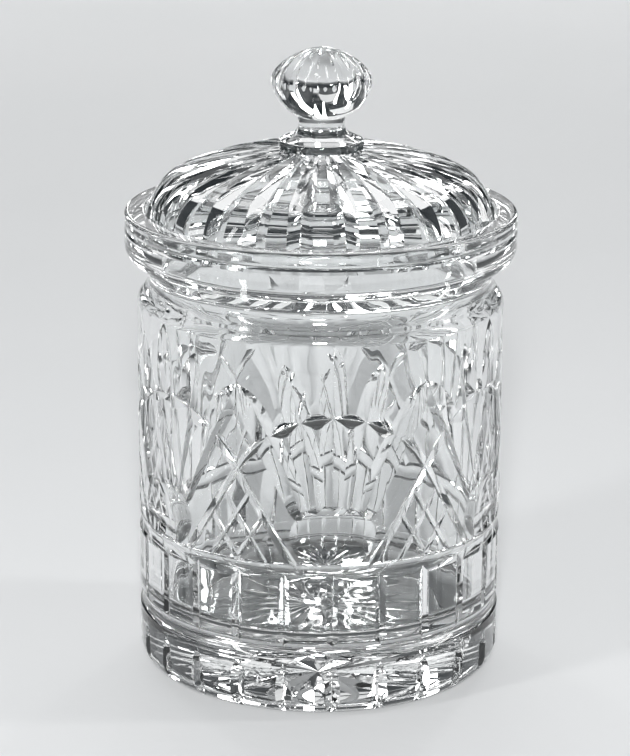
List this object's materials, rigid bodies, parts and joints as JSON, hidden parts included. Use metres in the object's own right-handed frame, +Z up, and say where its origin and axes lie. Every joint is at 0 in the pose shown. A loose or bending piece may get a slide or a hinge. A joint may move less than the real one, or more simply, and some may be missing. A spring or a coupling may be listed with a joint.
{
  "type": "biscuit jar",
  "caption": "Cut-glass biscuit jar: a cylindrical jar with a galleried rim, cut fans and bands, and a loose domed lid with a petal-cut knob.",
  "frame": {"origin": "middle of the flat foot, at table height", "axes": "+Z up along the jar's axis; the middle leaf of one fan faces -Y"},
  "size_m": [0.1406, 0.1406, 0.228],
  "materials": {
    "cut_glass": "clear crystal, polished, with cut facets"
  },
  "bodies": {
    "jar": {"jar": "cut_glass"},
    "lid": {"lid": "cut_glass"}
  },
  "joints": [
    {"name": "lid_lift", "type": "slide", "parent": "jar", "child": "lid", "axis": [0, 0, 1], "range_m": [0, 0.1]}
  ]
}
